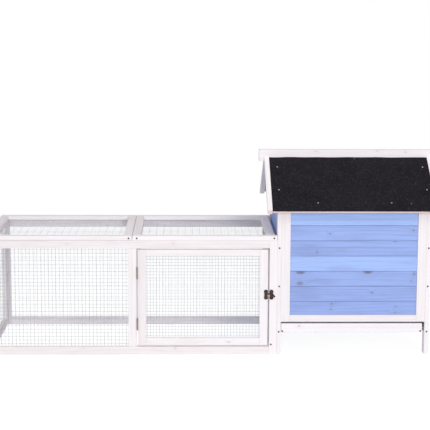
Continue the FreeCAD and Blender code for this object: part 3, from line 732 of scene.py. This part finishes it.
def felt(side, seed):
    """One slope's felt: a thin sheet that follows the boards with small waves and soft edges."""
    node = f"roof_felt_{side}"
    work = bmesh.new()
    grid = felt_grid(work, node, -1.0 if side == "front" else 1.0, seed)
    for j in range(FELT_DOWN):
        for i in range(FELT_ACROSS):
            corners = (grid[j][i], grid[j][i + 1], grid[j + 1][i + 1], grid[j + 1][i])
            work.faces.new(corners if side == "back" else corners[::-1])
    bmesh.ops.recalc_face_normals(work, faces=work.faces)
    if sum(face.normal.z for face in work.faces) < 0:
        bmesh.ops.reverse_faces(work, faces=work.faces)
    skin = list(work.faces)
    lower = bmesh.ops.extrude_face_region(work, geom=skin)
    for vertex in (item for item in lower["geom"] if isinstance(item, bmesh.types.BMVert)):
        vertex.co.z -= FELT_PLY * FELT_SHARE
    bmesh.ops.recalc_face_normals(work, faces=work.faces)
    for face in work.faces:
        face.smooth = True
    for edge in work.edges:
        edge.smooth = edge.calc_face_angle(0.0) < SOFT_FELT_EDGE
    mesh = bpy.data.meshes.new(f"{node}_sheet")
    work.to_mesh(mesh)
    work.free()
    add_piece(f"{node}_sheet", mesh, FELT, node)


# ---------------------------------------------------------------- screws and nails
def turned(name, profile, sides):
    """A closed round solid around the Z axis, from its profile of (radius, level) points, lowest first."""
    work = bmesh.new()
    previous = None
    for reach, level in profile:
        angles = [2 * math.pi * k / sides for k in range(sides)]
        row = [work.verts.new((reach * math.cos(angle), reach * math.sin(angle), level)) for angle in angles]
        if previous:
            for k in range(sides):
                work.faces.new((previous[k], previous[(k + 1) % sides], row[(k + 1) % sides], row[k]))
        else:
            work.faces.new(row[::-1])
        previous = row
    work.faces.new(previous)
    for face in work.faces:
        face.smooth = len(face.verts) == 4
    mesh = bpy.data.meshes.new(name)
    work.to_mesh(mesh)
    work.free()
    return mesh


def screw_head(radius, height):
    """A pan head with a cross recess, standing on the origin along +Z."""
    rings = 5
    turns = [math.pi / 2 * ring / rings for ring in range(rings + 1)]
    profile = [(radius * (0.55 + 0.45 * math.cos(turn)), height * math.sin(turn)) for turn in turns]
    body = turned("screw_body", profile, 24)
    cross = bmesh.new()
    arm, half, floor = radius * 0.5, radius * 0.13, height * 0.25
    add_box(cross, (-arm, -half, floor), (arm, half, height * 2))
    add_box(cross, (-half, -arm, floor), (half, arm, height * 2.1))
    cutter_mesh = bpy.data.meshes.new("screw_recess")
    cross.to_mesh(cutter_mesh)
    cross.free()
    head = bpy.data.objects.new("screw_blank", body)
    cutter = bpy.data.objects.new("screw_cutter", cutter_mesh)
    for item in (head, cutter):
        bpy.context.scene.collection.objects.link(item)
    carve = head.modifiers.new("recess", "BOOLEAN")
    carve.operation = "DIFFERENCE"
    carve.solver = "EXACT"
    carve.use_self = True
    carve.object = cutter
    carved = bpy.data.meshes.new_from_object(head.evaluated_get(bpy.context.evaluated_depsgraph_get()))
    for item in (head, cutter):
        bpy.data.objects.remove(item)
    return carved


def nail_head(radius, height):
    """A wide flat nail head with a slightly domed top."""
    outline = ((1.0, 0.0), (1.0, 0.45), (0.86, 0.8), (0.45, 1.0))
    return turned("nail_blank", [(radius * reach, height * level) for reach, level in outline], 20)


def seat(solid):
    """(where a head stands, the way it faces) for one solid of a fastener node, a short round disc.

    A head on the felt faces up and out from the ridge, and every other head faces the front.
    """
    flats = {face for vertex in solid for face in vertex.link_faces if len(face.verts) > 6}

    def outwardness(face):
        middle = face.calc_center_median()
        if abs(face.normal.z) > 0.1:
            return middle.dot(Vector((0, face.normal.y * 4, 1)))
        return -middle.y

    outer = max(flats, key=outwardness)
    others = [face for face in flats if face is not outer]
    inner = min(others, key=lambda face: (face.calc_center_median() - outer.calc_center_median()).length)
    return inner.calc_center_median(), outer.normal.copy()


def heads(node, blank, material, seed):
    """Put a head on each solid of a fastener node, standing out along the way that solid faces."""
    work = cad_copy(node)
    spots = [seat(solid) for solid in islands(work)]
    work.free()
    luck = random.Random(seed)
    target = bmesh.new()
    for centre, facing in spots:
        head = blank.copy()
        spin = Matrix.Rotation(luck.uniform(0, math.pi), 4, "Z")
        aim = facing.to_track_quat("Z", "Y").to_matrix().to_4x4()
        head.transform(Matrix.Translation(centre) @ aim @ spin)
        target.from_mesh(head)
        bpy.data.meshes.remove(head)
    mesh = bpy.data.meshes.new(f"{node}_heads")
    target.to_mesh(mesh)
    target.free()
    add_piece(f"{node}_heads", mesh, material, node)


def fasteners():
    """The heads of the screws and the felt nails."""
    screw = screw_head(3.0 * MM, 0.8 * MM)
    for seed, node in enumerate(("frame_screws", "lid_screws", "tray_screws"), start=300):
        heads(node, screw, STEEL, seed)
    heads("latch_plate_screws", screw, BRONZE, 303)
    heads("felt_nails", nail_head(2.8 * MM, 0.8 * MM), ZINC, 304)


# ---------------------------------------------------------------- metal parts
def metal_parts():
    """The hinges, the latch and the tray's pan."""
    for node in ("door_hinge_frame_leaves", "door_hinge_door_leaves", "lid_hinge_frame_leaves",
                 "lid_hinge_lid_leaves"):
        hardware(node, HINGE, 0.2)
    for node in ("door_hinge_pins", "lid_hinge_pins"):
        hardware(node, HINGE, 0.3)
    for node in ("latch_plate", "latch_keeper", "latch_arm"):
        hardware(node, BRONZE, 0.3)
    hardware("tray_pan", SHEET, 0.35)


# ---------------------------------------------------------------- studio
# The camera: its lens in millimetres on a 36 mm sensor, its place, and its turns from level and square
SENSOR = 36.0
LENS = 114.4
EYE = (-0.1032, -4.8284, 1.2259)
YAW, DOWN, ROLL = (math.radians(angle) for angle in (1.22, 9.09, 0.23))
# A wide light from the front, right of the camera, and a wider one high above the front
KEY_LIGHT = {"place": (2.5, -7.2, 2.9), "aim": (0.0, 0.0, 0.3), "size": (2.8, 2.0), "power": 168.0}
TOP_LIGHT = {"place": (-0.1, -1.6, 3.2), "aim": (0.0, 0.0, 0.4), "size": (3.6, 2.4), "power": 56.0}
# The world's strength where it is seen, and its strength and tint in the light that it gives
SKY_SEEN = 1.0
SKY_LIGHT = 0.39
SHADE_TINT = (1.0, 0.955, 1.0, 1.0)
FLOOR_HALF = 40.0
FLOOR_DROP = 0.3 * MM


def camera():
    """A long lens a little above the hutch, facing the front of the run."""
    lens = bpy.data.cameras.new("camera")
    lens.sensor_width = SENSOR
    lens.lens = LENS
    lens.clip_end = 100.0
    eye = bpy.data.objects.new("camera", lens)
    eye.matrix_world = (Matrix.Translation(EYE) @ Matrix.Rotation(-YAW, 4, "Z")
                        @ Matrix.Rotation(math.pi / 2 - DOWN, 4, "X") @ Matrix.Rotation(ROLL, 4, "Z"))
    bpy.context.scene.collection.objects.link(eye)
    bpy.context.scene.camera = eye


def area_light(name, place, aim, size, power):
    lamp = bpy.data.lights.new(name, "AREA")
    lamp.shape = "RECTANGLE"
    lamp.size, lamp.size_y = size
    lamp.energy = power
    holder = bpy.data.objects.new(name, lamp)
    holder.location = place
    holder.rotation_euler = (Vector(aim) - Vector(place)).to_track_quat("-Z", "Y").to_euler()
    bpy.context.scene.collection.objects.link(holder)


def ground():
    """A wide white floor just under the hutch's feet."""
    corners = [(x * FLOOR_HALF, y * FLOOR_HALF, 0) for x, y in ((-1, -1), (1, -1), (1, 1), (-1, 1))]
    plane = bpy.data.meshes.new("floor")
    plane.from_pydata(corners, [], [(0, 1, 2, 3)])
    floor = bpy.data.objects.new("floor", plane)
    floor.location.z = -FLOOR_DROP
    bpy.context.scene.collection.objects.link(floor)
    floor.data.materials.append(studio_floor())


def sky():
    """A white background; the light that it gives is weaker and slightly tinted."""
    world = bpy.data.worlds.new("studio")
    world.use_nodes = True
    bpy.context.scene.world = world
    nodes, links = world.node_tree.nodes, world.node_tree.links
    background = nodes["Background"]
    tint = nodes.new("ShaderNodeMix")
    tint.data_type = "RGBA"
    tint.inputs[6].default_value = SHADE_TINT
    tint.inputs[7].default_value = (1.0, 1.0, 1.0, 1.0)
    path = nodes.new("ShaderNodeLightPath")
    level = nodes.new("ShaderNodeMapRange")
    level.inputs["To Min"].default_value = SKY_LIGHT
    level.inputs["To Max"].default_value = SKY_SEEN
    links.new(path.outputs["Is Camera Ray"], level.inputs["Value"])
    links.new(path.outputs["Is Camera Ray"], tint.inputs[0])
    links.new(tint.outputs[2], background.inputs["Color"])
    links.new(level.outputs[0], background.inputs["Strength"])
    bpy.context.scene.view_settings.view_transform = "Standard"


camera()
ground()
area_light("key", **KEY_LIGHT)
area_light("top", **TOP_LIGHT)
sky()
timbers()
meshes()
for seed, side in enumerate(("front", "back"), start=400):
    felt(side, seed)
metal_parts()
fasteners()
